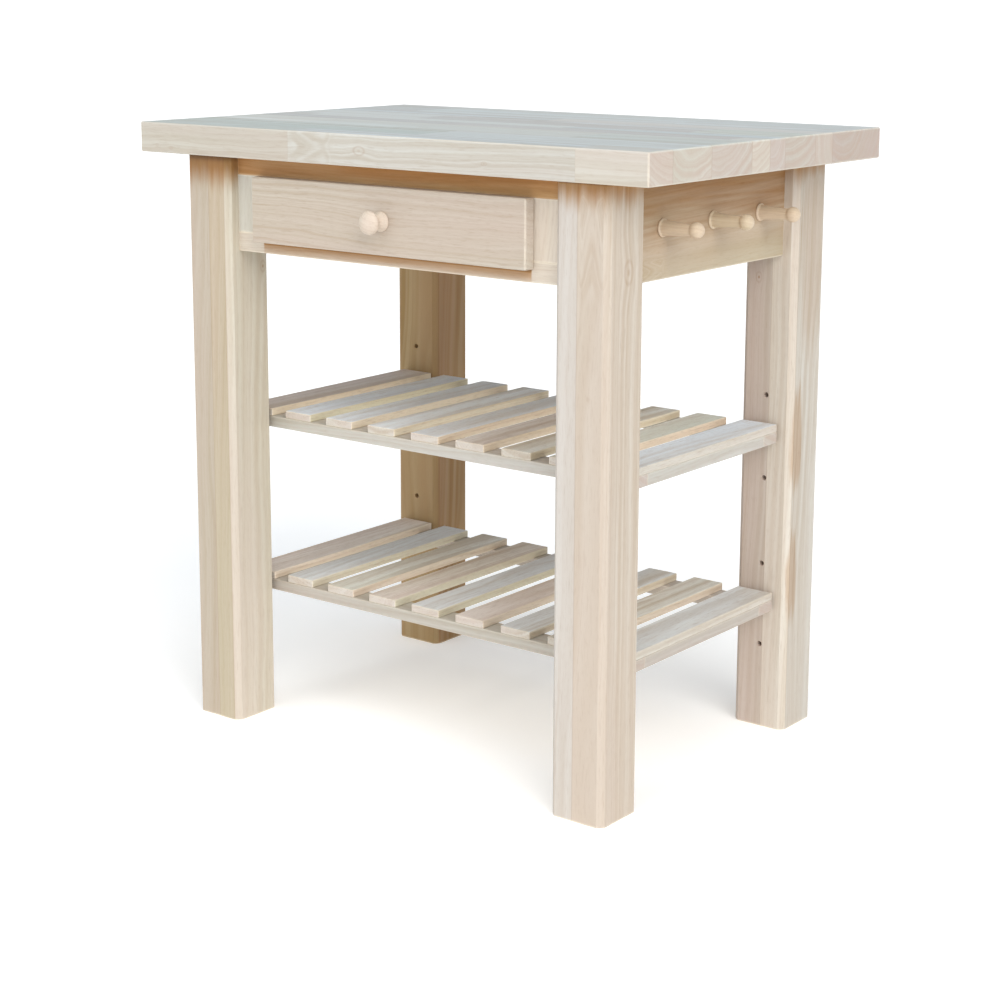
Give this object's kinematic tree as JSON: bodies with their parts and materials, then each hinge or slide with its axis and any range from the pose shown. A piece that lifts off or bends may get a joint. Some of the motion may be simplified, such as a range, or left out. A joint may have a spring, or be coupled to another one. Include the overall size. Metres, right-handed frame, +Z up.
{
  "type": "butcher block table",
  "caption": "Butcher block work table with a thick laminated top, square legs, a drawer with a turned knob, side pegs and slatted adjustable shelves.",
  "frame": {"origin": "on the floor, under the centre of the top", "axes": "+X to the right seen from the drawer side, +Y to the back, +Z up; the drawer opens towards -Y"},
  "size_m": [0.9144, 0.6236, 0.9144],
  "materials": {
    "butcher_block": "matt, sanded, unfinished",
    "leg_wood": "matt, sanded, unfinished",
    "frame_wood": "matt, sanded, unfinished",
    "apron_wood": "matt, sanded, unfinished",
    "drawer_wood": "matt, sanded, unfinished",
    "shelf_wood": "matt, sanded, unfinished",
    "turned_wood": "matt, sanded, unfinished",
    "inner_wood": "matt, planed, unfinished",
    "plywood": "matt, planed",
    "zinc_steel": "zinc plated"
  },
  "bodies": {
    "table": {"top_slab": "butcher_block", "leg_front_left": "leg_wood", "leg_front_right": "leg_wood", "leg_back_left": "leg_wood", "leg_back_right": "leg_wood", "front_top_rail": "frame_wood", "front_bottom_rail": "frame_wood", "front_stile_left": "frame_wood", "front_stile_right": "frame_wood", "side_apron_left": "apron_wood", "side_apron_right": "apron_wood", "back_apron": "apron_wood", "corner_braces": "inner_wood", "hanger_bolts": "zinc_steel", "hanger_nuts": "zinc_steel", "brace_screws": "zinc_steel", "drawer_guide_left": "inner_wood", "drawer_guide_right": "inner_wood", "top_cleats": "inner_wood", "carcass_screws": "zinc_steel", "frame_dowels": "turned_wood", "peg_front": "turned_wood", "peg_middle": "turned_wood", "peg_rear": "turned_wood", "shelf_pins": "zinc_steel"},
    "drawer": {"drawer_face": "drawer_wood", "drawer_inner_front": "inner_wood", "drawer_side_left": "inner_wood", "drawer_side_right": "inner_wood", "drawer_back": "inner_wood", "drawer_bottom": "plywood", "drawer_knob": "turned_wood", "knob_screw": "zinc_steel", "drawer_face_screws": "zinc_steel"},
    "upper_shelf": {"upper_front_rail": "shelf_wood", "upper_back_rail": "shelf_wood", "upper_end_rail_left": "shelf_wood", "upper_end_rail_right": "shelf_wood", "upper_slat_1": "shelf_wood", "upper_slat_2": "shelf_wood", "upper_slat_3": "shelf_wood", "upper_slat_4": "shelf_wood", "upper_slat_5": "shelf_wood", "upper_slat_6": "shelf_wood", "upper_slat_7": "shelf_wood", "upper_slat_8": "shelf_wood", "upper_slat_9": "shelf_wood"},
    "lower_shelf": {"lower_front_rail": "shelf_wood", "lower_back_rail": "shelf_wood", "lower_end_rail_left": "shelf_wood", "lower_end_rail_right": "shelf_wood", "lower_slat_1": "shelf_wood", "lower_slat_2": "shelf_wood", "lower_slat_3": "shelf_wood", "lower_slat_4": "shelf_wood", "lower_slat_5": "shelf_wood", "lower_slat_6": "shelf_wood", "lower_slat_7": "shelf_wood", "lower_slat_8": "shelf_wood", "lower_slat_9": "shelf_wood"}
  },
  "joints": [
    {"name": "drawer_slide", "type": "slide", "parent": "table", "child": "drawer", "axis": [0, -1, 0], "range_m": [0, 0.35]},
    {"name": "upper_shelf_lift", "type": "slide", "parent": "table", "child": "upper_shelf", "axis": [0, 0, 1], "range_m": [0, 0.25]},
    {"name": "lower_shelf_lift", "type": "slide", "parent": "table", "child": "lower_shelf", "axis": [0, 0, 1], "range_m": [0, 0.23]}
  ]
}
